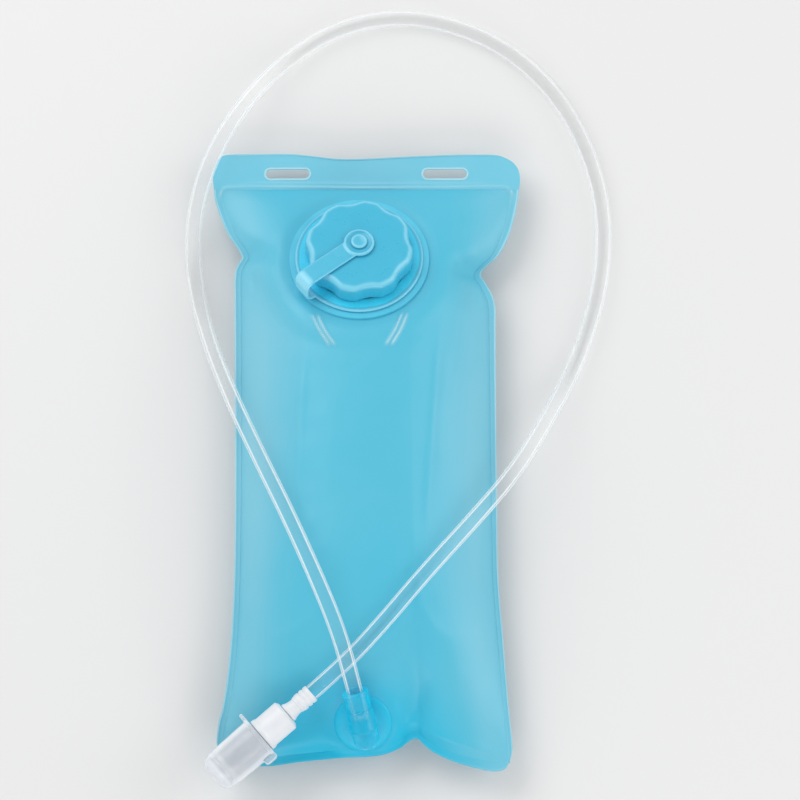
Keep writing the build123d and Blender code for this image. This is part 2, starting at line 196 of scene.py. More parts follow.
def by_tint(paint, cloud, stops):
    """Colour of each point from the mesh's own tint, from 0 to 1, made a little cloudy."""
    most_sway = 0.04
    tree = paint.node_tree
    share = tree.nodes.new("ShaderNodeAttribute")
    share.attribute_name = "tint"
    sway = tree.nodes.new("ShaderNodeMath")
    tree.links.new(share.outputs["Fac"], sway.inputs[0])
    tree.links.new(spread(paint, grain(paint, cloud), -most_sway, most_sway), sway.inputs[1])
    ramp = tree.nodes.new("ShaderNodeValToRGB")
    for place, colour in stops[1:-1]:
        ramp.color_ramp.elements.new(place)
    for element, (place, colour) in zip(ramp.color_ramp.elements, stops):
        element.position = place
        element.color = colour
    tree.links.new(sway.outputs["Value"], ramp.inputs["Fac"])
    return ramp.outputs["Color"]


def by_facing(paint, stops):
    """Opacity from 0 straight on to 1 along the surface, and never less than the mesh's tint."""
    tree = paint.node_tree
    facing = tree.nodes.new("ShaderNodeLayerWeight")
    facing.inputs["Blend"].default_value = 0.5
    ramp = tree.nodes.new("ShaderNodeValToRGB")
    while len(ramp.color_ramp.elements) < len(stops):
        ramp.color_ramp.elements.new(1.0)
    for element, (place, opacity) in zip(ramp.color_ramp.elements, stops):
        element.position = place
        element.color = (opacity, opacity, opacity, 1)
    tree.links.new(facing.outputs["Facing"], ramp.inputs["Fac"])
    thick = tree.nodes.new("ShaderNodeAttribute")
    thick.attribute_name = "tint"
    most = tree.nodes.new("ShaderNodeMath")
    most.operation = "MAXIMUM"
    tree.links.new(ramp.outputs["Color"], most.inputs[0])
    tree.links.new(thick.outputs["Fac"], most.inputs[1])
    tree.links.new(most.outputs["Value"], tree.nodes["Principled BSDF"].inputs["Alpha"])


def plastic(name, rough, colours=None, tint=None, cloud=60.0, layers=((900, 0.12, 0.0002),), **sockets):
    """Plastic coloured by two colours or by the mesh's tint, a little cloudy in colour and gloss."""
    gloss_cloud = 1.7 * cloud
    paint = new_material(name)
    tree = paint.node_tree
    shader = tree.nodes["Principled BSDF"]
    colour = by_tint(paint, cloud, tint) if tint else clouded(paint, cloud, *colours)
    tree.links.new(colour, shader.inputs["Base Color"])
    tree.links.new(spread(paint, grain(paint, gloss_cloud), *rough), shader.inputs["Roughness"])
    bumped(paint, layers)
    for socket, value in sockets.items():
        shader.inputs[socket.replace("_", " ")].default_value = value
    return paint


def make_materials():
    """Every material of the object, by the name of its slot, or of its node where that differs."""
    moulded = ((900, 0.05, 0.0001), (160, 0.05, 0.0006))
    film_gloss = (0.36, 0.46)
    # Paler colour painted on the rims of the cap and the tether as a highlight
    painted_rim_highlight = srgb(140, 216, 238)
    film_stops = [(0.0, srgb(180, 229, 243)), (0.2, srgb(134, 210, 231)), (0.5, srgb(93, 200, 227)),
                  (1.0, srgb(4, 198, 234))]
    cap_stops = [(0.0, srgb(56, 178, 211)), (1.0, painted_rim_highlight)]
    # The first tether stop is the brighter blue painted on the ring where the cap's shade falls
    tether_stops = [(0.02, srgb(60, 211, 243)), (0.07, srgb(66, 181, 213)), (1.0, painted_rim_highlight)]
    paints = {
        "bag_film": plastic(
            "bag_film", film_gloss, tint=film_stops, cloud=16,
            layers=((1100, 0.10, 0.0001), (70, 0.10, 0.0012)),
            Alpha=0.82, Coat_Weight=0.08, Coat_Roughness=0.2),
        "header_film": plastic(
            "header_film", film_gloss, tint=film_stops, cloud=22,
            layers=((1100, 0.12, 0.0001), (90, 0.10, 0.0010)),
            Alpha=0.86, Coat_Weight=0.08),
        "port_plastic": plastic(
            "port_plastic", (0.22, 0.3), (srgb(24, 206, 243), srgb(16, 198, 235)), cloud=70, layers=moulded,
            Coat_Weight=0.3),
        "flange_plastic": plastic(
            "flange_plastic", film_gloss, (srgb(14, 200, 236), srgb(6, 194, 230)), cloud=70, layers=moulded,
            Alpha=0.92, Coat_Weight=0.05),
        "neck_spout": plastic(
            "neck_plastic", (0.3, 0.4), (srgb(88, 200, 228), srgb(78, 194, 223)), cloud=70, layers=moulded,
            Coat_Weight=0.1),
        "cap_plastic": plastic(
            "cap_plastic", (0.26, 0.34), tint=cap_stops, cloud=70, layers=moulded,
            Coat_Weight=0.2, Coat_Roughness=0.25),
        "tether_plastic": plastic(
            "tether_plastic", (0.24, 0.34), tint=tether_stops, cloud=70, layers=moulded,
            Coat_Weight=0.2, Coat_Roughness=0.25),
        "seal_rubber": plastic("seal_rubber", (0.5, 0.6), (srgb(214, 218, 218), srgb(200, 205, 205))),
        "hose_tube": plastic(
            "hose_tube", (0.08, 0.14), (srgb(252, 254, 254), srgb(244, 249, 251)), cloud=40,
            layers=((120, 0.04, 0.0005),), Coat_Weight=0.5, Coat_Roughness=0.05),
        "white_plastic": plastic(
            "white_plastic", (0.3, 0.4), (srgb(230, 233, 237), srgb(223, 227, 231)), layers=moulded),
        "bite_rubber": plastic("bite_rubber", (0.45, 0.6), (srgb(172, 180, 190), srgb(158, 167, 178))),
        "cover_plastic": plastic(
            "cover_plastic", (0.12, 0.26), (srgb(243, 247, 251), srgb(234, 239, 246)), cloud=90,
            layers=((1500, 0.2, 0.0001), (220, 0.16, 0.0005)), Coat_Weight=0.5, Coat_Roughness=0.1),
    }
    # The hose's bore shows as a pale line inside its edge
    by_facing(paints["hose_tube"], [(0.0, 0.035), (0.25, 0.035), (0.31, 0.52), (0.40, 0.52), (0.46, 0.16),
                                    (0.56, 0.2), (0.7, 0.72)])
    by_facing(paints["port_plastic"], [(0.0, 0.5), (0.3, 0.54), (0.75, 0.94)])
    by_facing(paints["cover_plastic"], [(0.0, 0.3), (0.3, 0.36), (0.62, 0.85)])
    return paints


# ---------------------------------------------------------------- meshes
def set_tint(mesh, tint):
    """Tint for each point of the mesh, which its material reads."""
    mesh.attributes.new("tint", "FLOAT", "POINT").data.foreach_set("value", np.ravel(tint))


def mesh_object(name, vertices, faces, paint, tint=None):
    """New smooth mesh object with one material, and a tint for each of its points."""
    mesh = bpy.data.meshes.new(name)
    mesh.from_pydata([tuple(v) for v in vertices], [], faces)
    mesh.materials.append(paint)
    if tint is not None:
        set_tint(mesh, tint)
    mesh.update()
    mesh.shade_smooth()
    piece = bpy.data.objects.new(name, mesh)
    bpy.context.collection.objects.link(piece)
    return piece


def ring_faces(rings, around, closed=False):
    """Quads between rings of this many points, joined end to end where closed."""
    faces = []
    for ring in range(rings if closed else rings - 1):
        for step in range(around):
            after = (step + 1) % around
            a, b = ring * around, (ring + 1) % rings * around
            faces.append((a + step, a + after, b + after, b + step))
    return faces


def tube_faces(rings, around):
    """Quads between rings of this many points, and a face over each end."""
    first, last = range(around), range((rings - 1) * around, rings * around)
    return ring_faces(rings, around) + [tuple(first)[::-1], tuple(last)]


def finished(piece):
    """The piece with its modifiers applied and its sharp edges marked."""
    graph = bpy.context.evaluated_depsgraph_get()
    mesh = bpy.data.meshes.new_from_object(piece.evaluated_get(graph))
    piece.modifiers.clear()
    piece.data = mesh
    mesh.set_sharp_from_angle(angle=SHARP_ANGLE)
    return piece


def welded(piece):
    """The finished piece with the points on its axis made one."""
    weld = piece.modifiers.new("weld", "WELD")
    weld.merge_threshold = MERGE * MM
    return finished(piece)


def places_from(piece, origin):
    """Places of the piece's points from this one, in millimetres."""
    places = np.empty(3 * len(piece.data.vertices))
    piece.data.vertices.foreach_get("co", places)
    return places.reshape(-1, 3) / MM - np.array(origin)


def settle(piece, body, slot, *stands_for):
    """Ride a finished piece on a body, in place of these CAD nodes."""
    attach(piece, body)
    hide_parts(*stands_for)


# ---------------------------------------------------------------- hose, in metres
HOSE_DIAMETER = 9.6 * MM
HOSE_ROUTE = [
    (-0.0025, -0.1565, 0.0400),
    (-0.0090, -0.1320, 0.0552),
    (-0.0168, -0.1068, 0.0674),
    (-0.0292, -0.0765, 0.0656),
    (-0.0451, -0.0395, 0.0550),
    (-0.0635, -0.0005, 0.0445),
    (-0.0788, 0.0337, 0.0340),
    (-0.0912, 0.0658, 0.0195),
    (-0.1000, 0.0970, 0.0065),
    (-0.1040, 0.1250, 0.0075),
    (-0.1026, 0.1495, 0.0195),
    (-0.0960, 0.1725, 0.0310),
    (-0.0840, 0.1985, 0.0310),
    (-0.0680, 0.2245, 0.0180),
    (-0.0490, 0.2465, 0.0060),
    (-0.0200, 0.2670, 0.0049),
    (0.0180, 0.2755, 0.0049),
    (0.0535, 0.2695, 0.0049),
    (0.0870, 0.2535, 0.0049),
    (0.1155, 0.2255, 0.0049),
    (0.1340, 0.1900, 0.0049),
    (0.1428, 0.1525, 0.0049),
    (0.1410, 0.1140, 0.0049),
    (0.1320, 0.0795, 0.0049),
    (0.1200, 0.0500, 0.0065),
    (0.1055, 0.0215, 0.0185),
    (0.0880, -0.0095, 0.0330),
    (0.0620, -0.0420, 0.0470),
    (0.0355, -0.0725, 0.0545),
    (0.0095, -0.1035, 0.0540),
    (-0.0130, -0.1267, 0.0452),
    (-0.0388, -0.1487, 0.0420),
]


def route_points():
    """Points along the hose's centre line, read from a spline near its route."""
    data = bpy.data.curves.new("route", "CURVE")
    data.dimensions = "3D"
    data.resolution_u = 12
    spline = data.splines.new("NURBS")
    spline.points.add(len(HOSE_ROUTE) - 1)
    for point, place in zip(spline.points, HOSE_ROUTE):
        point.co = (*place, 1.0)
    spline.order_u = 3
    spline.use_endpoint_u = True
    curve = bpy.data.objects.new("route", data)
    bpy.context.collection.objects.link(curve)
    line = bpy.data.meshes.new_from_object(curve)
    points = [vertex.co.copy() for vertex in line.vertices]
    bpy.data.objects.remove(curve)
    bpy.data.meshes.remove(line)
    return points


def hose_mesh(paint):
    """The hose's outside, closed at both ends, and its centre line."""
    points = route_points()
    around = 48
    skin = []
    side = Vector((1, 0, 0))
    for index, point in enumerate(points):
        ahead = points[min(index + 1, len(points) - 1)] - points[max(index - 1, 0)]
        ahead.normalize()
        side = (side - ahead * side.dot(ahead)).normalized()
        up = ahead.cross(side)
        for step in range(around):
            turn = 2 * pi * step / around
            skin.append(point + HOSE_DIAMETER / 2 * (cos(turn) * side + sin(turn) * up))
    return mesh_object("drinking_hose", skin, tube_faces(len(points), around), paint), points


# ---------------------------------------------------------------- bag and header, in millimetres
SEAM = 18.0
FILM = 0.68
WELD = 164.8
SEAM_WIDTH = 4.4
FOOT_END = -173.5
RIGHT_SIDE = [(84.8, -179.5), (86.3, -173), (86, -166), (83.8, -143.1), (81, -107.3), (78.1, -68.4),
              (77.6, -23.5), (77.2, 36.9), (77.1, 80), (77.1, 91.5), (75.6, 99.4), (71.5, 107.3),
              (68.5, 112.2), (69.9, 116.4), (77.4, 123.1), (81.7, 129.3), (86.4, 140.3), (90, 155),
              (91.3, WELD)]
LEFT_SIDE = [(-84.5, -176.0), (-87.3, -171), (-87.6, -165), (-86.3, -155), (-84.6, -149), (-81.8, -131.2),
             (-79.5, -107.3), (-77.9, -71.5), (-77.5, -23.5), (-77.7, 18.8), (-78.4, 97.6), (-78.2, 112.8),
             (-77, 117.7), (-74.1, 122.6), (-74.1, 124.4), (-76.4, 128.7), (-82.5, 137.8), (-87.3, 149.4),
             (-90.4, 159), (-91.0, WELD)]
FOOT_LINE = [(-84.5, -176.0), (-80.5, -179.8), (-72, -181.9), (-56.2, -182.3), (-38.6, -179.9),
             (-15, -177.5), (2, -176.7), (11.4, -175.2), (20.2, -171.6), (26.6, -166.9), (30.8, -166.3),
             (34.4, -169.8), (40.8, -174.6), (52.6, -179.9), (67.2, -184.1), (76, -185.4), (81.9, -184.0),
             (84.8, -179.5)]
HEADER_LEFT = [(-91.0, WELD), (-91.6, 171), (-91.2, 177), (-89.4, 182), (-86.0, 185.2)]
HEADER_RIGHT = [(91.3, WELD), (91.9, 169.5), (91.8, 173.6), (90.7, 177.6), (88.5, 180.7), (86.0, 182.8),
                (83.0, 184.3)]
HEADER_TOP = [(-86.0, 185.2), (-82, 186.1), (-66, 186.4), (-45.5, 186.6), (-30, 185.0), (-15.6, 183.4),
              (2, 183.6), (20.2, 184.6), (50.2, 185.9), (68, 186.1), (76, 186.0), (80, 185.5),
              (83.0, 184.3)]
SLOT_LINE = 174.5
SLOT_APART = 94.0
SLOT_LENGTH = 26.0
SLOT_WIDTH = 5.5
EDGE_WAVE = 0.9
EDGE_WAVE_SIZE = 36
EDGE_WAVE_SEED = 17.0

# Filled shape: place along the bag, front rise and back depth from the seam, as the CAD's chamber has them
STATIONS = [(FOOT_END, 0, 0), (-170.5, 3.0, 3.2), (-167, 5.4, 6.5), (-157.5, 9.2, 12),
            (-142.5, 15.2, 18.5), (-122.5, 22.8, 24), (-102.5, 28.6, 28), (-62.5, 33.8, 30),
            (-1.5, 34.5, 30), (59.5, 34.5, 30), (98.5, 32.5, 29), (119.5, 27, 26), (139.5, 19, 18.5),
            (156.5, 8, 8), (161.5, 4, 4), (WELD, 0, 0)]
# The neck's plane leans on the seam at the weld, and flanges and holes are given by their radius
NECK_LEAN = radians(20)
NECK_ALONG = 118.3
NECK_PLANE_FOOT = 164.5
NECK = Vector((-4.0, NECK_ALONG, SEAM + (NECK_PLANE_FOOT - NECK_ALONG) * tan(NECK_LEAN)))
NECK_FLANGE = 41.5
NECK_HOLE = 24.5
OUTLET = Vector((-1.5, -158.1, 27.0))
OUTLET_LEAN = radians(-21.8)
OUTLET_FLANGE = 17.0
OUTLET_HOLE = 4.5


def catmull(points, count):
    """Even points along a smooth curve through these points, or points at these shares of its length."""
    pts = np.array(points, float)
    pts = np.vstack([2 * pts[0] - pts[1], pts, 2 * pts[-1] - pts[-2]])
    steps = np.linspace(0, 1, 24, endpoint=False)
    fine = []
    for index in range(1, len(pts) - 2):
        p0, p1, p2, p3 = pts[index - 1:index + 3]
        for t in steps:
            fine.append(0.5 * (2 * p1 + (p2 - p0) * t + (2 * p0 - 5 * p1 + 4 * p2 - p3) * t**2
                               + (3 * p1 - p0 - 3 * p2 + p3) * t**3))
    fine.append(pts[-2])
    fine = np.array(fine)
    length = np.concatenate([[0], np.cumsum(np.linalg.norm(np.diff(fine, axis=0), axis=1))])
    shares = np.linspace(0, 1, count) if np.isscalar(count) else np.array(count)
    return np.stack([np.interp(shares * length[-1], length, column) for column in fine.T], axis=1)


def side_by_height(points, ladder):
    """Points on one side of the outline at these shares of its height."""
    fine = catmull(points, 900)
    heights = np.maximum.accumulate(fine[:, 1])
    want = heights[0] + (heights[-1] - heights[0]) * ladder
    across = np.interp(want, heights + np.arange(len(heights)) * 1e-7, fine[:, 0])
    return np.stack([across, want], axis=1)


def smoothstep(low, high, value):
    """0 below low, 1 above high, smooth between."""
    share = np.clip((value - low) / (high - low), 0, 1)
    return share * share * (3 - 2 * share)


def soft_min(a, b, reach):
    """Lower of two heights, rounded where they cross."""
    blend = np.clip(0.5 + 0.5 * (b - a) / reach, 0, 1)
    return b + (a - b) * blend - reach * blend * (1 - blend)


def crease(x, y, points, width, height, fade):
    """Ridge, or a valley where height is negative, along a line of points, faded at both ends."""
    length = np.sum(np.linalg.norm(np.diff(catmull(points, 90), axis=0), axis=1))
    line = catmull(points, max(90, int(2.5 * length)))
    gaps = np.full(x.shape, 1e9)
    share = np.zeros(x.shape)
    for index, (px, py) in enumerate(line):
        gap = (x - px) ** 2 + (y - py) ** 2
        closer = gap < gaps
        gaps = np.where(closer, gap, gaps)
        share = np.where(closer, index / (len(line) - 1), share)
    ends = smoothstep(0, fade / length, share) * smoothstep(0, fade / length, 1 - share)
    return height * np.exp(-(np.sqrt(gaps) / width) ** 2 / 2) * ends


def patch(bottom, top, left, right, u, v):
    """Points inside four border curves that share their corners."""
    u = u[None, :, None]
    v = v[:, None, None]
    flat = ((1 - v) * bottom[None] + v * top[None] + (1 - u) * left[:, None] + u * right[:, None]
            - (1 - u) * (1 - v) * bottom[0] - u * (1 - v) * bottom[-1]
            - (1 - u) * v * top[0] - u * v * top[-1])
    return flat[..., 0], flat[..., 1]


# Grid lines over a film, closer together over its seams, and the seams' heights on them
FILM_WIDTH = 158
FILM_HEIGHT = 342
SEAM_STEPS = np.array([0, 0.09, 0.18, 0.27, 0.42, 0.58, 0.73, 0.82, 0.91])
SEAM_RIDGES = np.array([0.1, 0.28, 0.32, 0.08, 0, 0, 0.03, 0.12, 0.1])
band = SEAM_WIDTH / FILM_WIDTH
foot_band = SEAM_WIDTH / FILM_HEIGHT
columns = np.concatenate([SEAM_STEPS * band, np.linspace(band, 1 - band, 169),
                          (1 - SEAM_STEPS * band)[::-1]])
rows = np.concatenate([SEAM_STEPS * foot_band, np.linspace(foot_band, 1, 290)])


def bag_grid():
    """Grid of points over one film, and each point's place in the chamber: across -1 to 1, and along."""
    left = side_by_height(LEFT_SIDE, rows)
    right = side_by_height(RIGHT_SIDE, rows)
    bottom = catmull(FOOT_LINE, columns)
    top = left[-1] + (right[-1] - left[-1]) * columns[:, None]
    x, y = patch(bottom, top, left, right, columns, rows)
    across = np.clip((columns - band) / (1 - 2 * band), 0, 1) * 2 - 1
    along = FOOT_END + np.clip((rows - foot_band) / (1 - foot_band), 0, 1) * (WELD - FOOT_END)
    across, along = np.meshgrid(across, along)
    return x, y, across, along


def waves(x, y, size, seed):
    """Gentle seeded unevenness from -1 to 1."""
    field = np.empty(x.shape)
    for index in np.ndindex(x.shape):
        field[index] = noise.noise(Vector((x[index] / size, y[index] / size, seed)))
    return field


def edge_wave(x, y):
    """Slight up and down of the welded edges and the header."""
    return EDGE_WAVE * waves(x, y, EDGE_WAVE_SIZE, EDGE_WAVE_SEED) * smoothstep(-400, -100, y)


def seam_ridges():
    """Height of the two embossed lines of the side and foot seams."""
    count = len(SEAM_RIDGES)
    sides = np.zeros(len(columns))
    sides[:count] = SEAM_RIDGES
    sides[-count:] = SEAM_RIDGES[::-1]
    foot_seam = np.zeros(len(rows))
    foot_seam[:count] = 0.5 * SEAM_RIDGES
    return np.maximum(sides[None, :], foot_seam[:, None])


def tilted(plane, lean, x, y):
    """Height of a fitting's plane, and how far from its middle each point is."""
    height = plane.z - tan(lean) * (y - plane.y)
    return height, np.hypot(x - plane.x, (y - plane.y) / cos(lean))


def ribs(x, y):
    """The two pairs of short ribs below the neck, from 0 to 1."""
    height = np.zeros(x.shape)
    for shift in (0, 3.2):
        left = [(-32.2 + shift, 84), (-27.5 + shift, 73), (-20.5 + shift, 62)]
        right = [(25.2 - shift, 85), (20.6 - shift, 73), (14.2 - shift, 62)]
        for line in (left, right):
            height += crease(x, y, line, width=0.6, height=1, fade=4)
    return height


# Each crease's points, width, height and fade
FRONT_CREASES = [
    # Edges of the flatter middle, which run down the bag from both sides of the neck
    ([(-31, 75), (-35, 60), (-38, 40), (-39.5, 0), (-40, -50)], 2.2, 0.75, 40),
    ([(44, 88), (43, 60), (41, 30), (38, -12), (35, -56)], 2.2, 0.75, 40),
    # Folds that run in from the pinched sides and the foot
    ([(69, 113), (60, 117), (50, 124), (42, 134)], 4.0, -2.6, 22),
    ([(70, 108), (64, 98), (60, 84)], 3.0, -2.4, 14),
    ([(-75, 123), (-66, 124), (-56, 129), (-48, 138)], 4.0, -2.6, 22),
    ([(-74, 118), (-67, 108), (-63, 92)], 3.0, -2.0, 14),
    ([(29, -166), (28, -156), (31, -142), (36, -126)], 4.6, -2.2, 16),
    ([(34, -162), (48, -168), (66, -173), (79, -176)], 2.0, 1.4, 12),
    # Faint arcs of strained film round the outlet
    ([(-62, -108), (-46, -107), (-33, -98), (-26, -86)], 2.6, 0.45, 16),
    ([(62, -108), (44, -106), (33, -92), (28, -72), (17, -62)], 2.6, 0.45, 16),
]


def bulge(along, column):
    """Column 1 of the filled shape, its front rise, or column 2, its back depth, along the bag."""
    fine = catmull(np.array(STATIONS, float)[:, [0, column]], 400)
    return np.interp(along, np.maximum.accumulate(fine[:, 0]), fine[:, 1])


def within(across, along):
    """1 inside the chamber, down to 0 at its seams."""
    return (smoothstep(0, 0.12, 1 - np.abs(across)) * smoothstep(FOOT_END, FOOT_END + 12, along)
            * smoothstep(WELD, WELD - 10, along))


def front_height(x, y, across, along):
    """Height of the front film over the table."""
    height = SEAM + bulge(along, 1) * (1 - np.abs(across) ** 2.2) ** 0.88
    inside = within(across, along)
    height += inside * (0.55 * waves(x, y, 38, 3.0) + 0.22 * waves(x, y, 14, 7.0))
    for points, width, rise, fade in FRONT_CREASES:
        height += crease(x, y, points, width, rise, fade) * inside
    # The film stays under the neck's plane above the middle, and is flat under both flanges
    neck_plane, neck_gap = tilted(NECK, NECK_LEAN, x, y)
    outlet_plane, outlet_gap = tilted(OUTLET, OUTLET_LEAN, x, y)
    height = soft_min(height, neck_plane + 200 * (y < 40), 0.2 + 8.0 * smoothstep(WELD, WELD - 26, y))
    at_neck = smoothstep(NECK_FLANGE + 22, NECK_FLANGE - 1, neck_gap)
    at_outlet = smoothstep(OUTLET_FLANGE + 9, OUTLET_FLANGE + 0.5, outlet_gap)
    height = height * (1 - at_neck) + (neck_plane - 0.1) * at_neck + 1.1 * ribs(x, y)
    return height * (1 - at_outlet) + (outlet_plane - 0.1) * at_outlet


def back_height(x, y, across, along):
    """Height of the back film, which lies flat in the middle."""
    inside = within(across, along)
    height = SEAM - bulge(along, 2) * (1 - np.abs(across) ** 2.0) ** 0.95
    height += inside * 0.8 * waves(x, y, 26, 11.0)
    for side in (-1, 1):
        shoulder = [(side * 74, 116), (side * 58, 122), (side * 44, 134)]
        heel = [(side * 70, -150), (side * 52, -140), (side * 38, -126)]
        height += crease(x, y, shoulder, 3.6, 3.5, 16) * inside
        height += crease(x, y, heel, 4.0, 1.6, 18) * inside
    return -soft_min(-height, np.full(x.shape, -0.5), 3.0)


def sheet_object(name, x, y, z, paint, thickness, outward, tint, holes=()):
    """Film through this grid of heights, its outside up (1) or down (-1) and its thickness inward."""
    count = x.shape[1]
    faces = []
    for r in range(x.shape[0] - 1):
        for c in range(count - 1):
            if any(gap[r, c] < radius for gap, radius in holes):
                continue
            a = r * count + c
            face = (a, a + 1, a + 1 + count, a + count)
            faces.append(face if outward > 0 else face[::-1])
    vertices = np.stack([x, y, z], axis=-1).reshape(-1, 3) * MM
    piece = mesh_object(name, vertices, faces, paint, tint)
    mesh = bmesh.new()
    mesh.from_mesh(piece.data)
    bmesh.ops.delete(mesh, geom=[v for v in mesh.verts if not v.link_faces], context="VERTS")
    mesh.to_mesh(piece.data)
    mesh.free()
    solid = piece.modifiers.new("thickness", "SOLIDIFY")
    solid.thickness = thickness * MM
    solid.offset = -1
    return finished(piece)


def film_tint_and_painted_light(x, y):
    """How deep the film's colour is, with painted light: paler on the slopes to the sides, painted where
    side light falls on them; deepest round the outlet.
    """
    left_edge = np.interp(y, [-180, -50, 40, 75, 100, 165], [-50, -40, -38, -34, -46, -50])
    right_edge = np.interp(y, [-180, -56, -12, 60, 88, 110, 165], [48, 35, 38, 43, 45, 50, 52])
    out = np.maximum(left_edge - x, x - right_edge)
    # Painted light: the side slopes beyond the flatter middle are painted paler
    tint = 0.52 - 0.05 * smoothstep(-2, 1.5, out) - 0.26 * smoothstep(0, 32, out)
    tint += 0.06 * smoothstep(20, -120, y) + 0.05 * smoothstep(70, 120, y)
    near_foot = np.hypot((x + 6) / 62, (y + 176) / 46)
    tint += 0.42 * smoothstep(1.35, 0.2, near_foot)
    return np.clip(tint, 0, 1)


def build_bag(paints):
    """Both films of the chamber."""
    x, y, across, along = bag_grid()
    border = np.clip(smoothstep(0.82, 1.0, np.abs(across)) + smoothstep(FOOT_END + 12, FOOT_END, along)
                     + smoothstep(WELD - 8, WELD, along), 0, 1)
    wave = edge_wave(x, y) * border
    ridges = seam_ridges()
    weld = weld_line(x, y)
    front = front_height(x, y, across, along) + wave + FILM + ridges + weld
    back = back_height(x, y, across, along) + wave - FILM * border - 0.6 * ridges
    neck_gap = tilted(NECK, NECK_LEAN, x, y)[1]
    outlet_gap = tilted(OUTLET, OUTLET_LEAN, x, y)[1]
    on_ports = (smoothstep(NECK_FLANGE + 8, NECK_FLANGE, neck_gap)
                + smoothstep(OUTLET_FLANGE + 8, OUTLET_FLANGE, outlet_gap))
    front -= FILM * np.clip(on_ports, 0, 1)
    holes = ((neck_gap, NECK_HOLE), (outlet_gap, OUTLET_HOLE))
    # Painted highlights: the seam ridges, the ribs and the weld line are painted paler; a little deeper
    # along the welded border
    tint = np.clip(film_tint_and_painted_light(x, y) - 0.9 * ridges + 0.07 * border - 0.6 * ribs(x, y) - 0.3 * weld, 0, 1)
    front_piece = sheet_object("front_panel", x, y, front, paints["bag_film"], FILM, 1, tint, holes)
    back_piece = sheet_object("back_panel", x, y, back, paints["bag_film"], FILM, -1, tint)
    settle(front_piece, "bag", "bag_film", "front_film")
    settle(back_piece, "bag", "bag_film", "back_film")


def stadium(length, width, count):
    """Even points round a slot of this overall length and width."""
    half = (length - width) / 2
    points = []
    for step in range(count):
        turn = 2 * pi * (step + 0.5) / count
        shift = half if cos(turn) > 0 else -half
        points.append((shift + width / 2 * cos(turn), width / 2 * sin(turn)))
    return points


def weld_line(x, y):
    """Height of the weld across the head of the bag, whose ends curve down into the side seams."""
    line = [(-87.5, 154), (-87.6, 160), (-85.2, 164.6), (-80, 166.6), (-50, 166.6), (0, 165.9),
            (50, 166.4), (79, 166.8), (85.4, 165), (88.0, 160.5), (87.6, 154)]
    beside = [(-80, 168.7), (-50, 168.8), (0, 168.2), (50, 168.6), (80, 168.9)]
    return crease(x, y, line, 0.6, 0.6, 8) + crease(x, y, beside, 0.6, 0.3, 20)


def build_header(paints):
    """Welded strip above the chamber, with its embossed weld line and its two rimmed slots."""
    share = np.concatenate([np.linspace(0, 0.2, 13), np.linspace(0.25, 0.93, 12), np.linspace(0.95, 1, 4)])
    u = np.linspace(0, 1, 181)
    left = catmull(HEADER_LEFT, share)
    right = catmull(HEADER_RIGHT, share)
    bottom = left[0] + (right[0] - left[0]) * u[:, None]
    x, y = patch(bottom, catmull(HEADER_TOP, u), left, right, u, share)
    wave = edge_wave(x, y)
    weld = weld_line(x, y)
    rim = 0.5 * (smoothstep(0.94, 0.97, share) * smoothstep(1.03, 0.985, share))[:, None]
    rim = rim * smoothstep(0, 0.07, u) * smoothstep(1, 0.93, u)
    # Painted highlight: the weld line is painted paler; the raised top rim is paler too
    tint = np.clip(0.34 - 0.3 * weld - 0.35 * rim, 0, 1)
    height = SEAM + FILM + wave + weld + rim
    piece = sheet_object("header", x, y, height, paints["header_film"], 2 * FILM, 1, tint)
    outline = stadium(SLOT_LENGTH, SLOT_WIDTH, 64)
    for side in (-1, 1):
        middle = Vector((side * SLOT_APART / 2, SLOT_LINE, SEAM))
        ring = [(middle + Vector((px, py, level))) * MM for level in (-6, 6) for px, py in outline]
        cutter = mesh_object("slot_cutter", ring, tube_faces(2, len(outline)), paints["header_film"])
        cut = piece.modifiers.new("slot", "BOOLEAN")
        cut.operation = "DIFFERENCE"
        cut.object = cutter
        finished(piece)
        bpy.data.objects.remove(cutter)
    joined = bmesh.new()
    joined.from_mesh(piece.data)
    for side in (-1, 1):
        joined.from_mesh(slot_rim(side))
    joined.to_mesh(piece.data)
    joined.free()
    piece.data.shade_smooth()
    settle(piece, "bag", "header_film", "header_strip")


def slot_rim(side):
    """Rounded bead round one slot, a little proud of both faces."""
    count, around, wider = 96, 12, 1.2
    half = (SLOT_LENGTH - SLOT_WIDTH) / 2
    points = []
    for px, py in stadium(SLOT_LENGTH + wider, SLOT_WIDTH + wider, count):
        outward = Vector((px - max(-half, min(half, px)), py, 0)).normalized()
        x, y = side * SLOT_APART / 2 + px, SLOT_LINE + py
        place = Vector((x / EDGE_WAVE_SIZE, y / EDGE_WAVE_SIZE, EDGE_WAVE_SEED))
        centre = Vector((x, y, SEAM + EDGE_WAVE * noise.noise(place)))
        for step in range(around):
            turn = 2 * pi * step / around
            points.append((centre + 0.75 * cos(turn) * outward + Vector((0, 0, 1.15 * sin(turn)))) * MM)
    mesh = bpy.data.meshes.new("slot_rim")
    mesh.from_pydata([tuple(p) for p in points], [], ring_faces(count, around, closed=True))
    return mesh


# ---------------------------------------------------------------- cap and tether, from the neck
neck_right = Vector((1, 0, 0))
neck_up = Vector((0, sin(NECK_LEAN), cos(NECK_LEAN)))
neck_ahead = Vector((0, cos(NECK_LEAN), -sin(NECK_LEAN)))
STRAP_ANGLE = radians(218)
strap_way = cos(STRAP_ANGLE) * neck_right + sin(STRAP_ANGLE) * neck_ahead
strap_side = neck_up.cross(strap_way)
CAP_RADIUS = 32.2
CAP_FOOT = 4.6
CAP_CROWN = 17.6
CAP_BORE = 28.6
CAP_CEILING = 15.2
GRIP_DEPTH = 2.2
GRIP_RADIUS = 20.0
GRIP_TURN = radians(17)
GRIP_APART = radians(45)


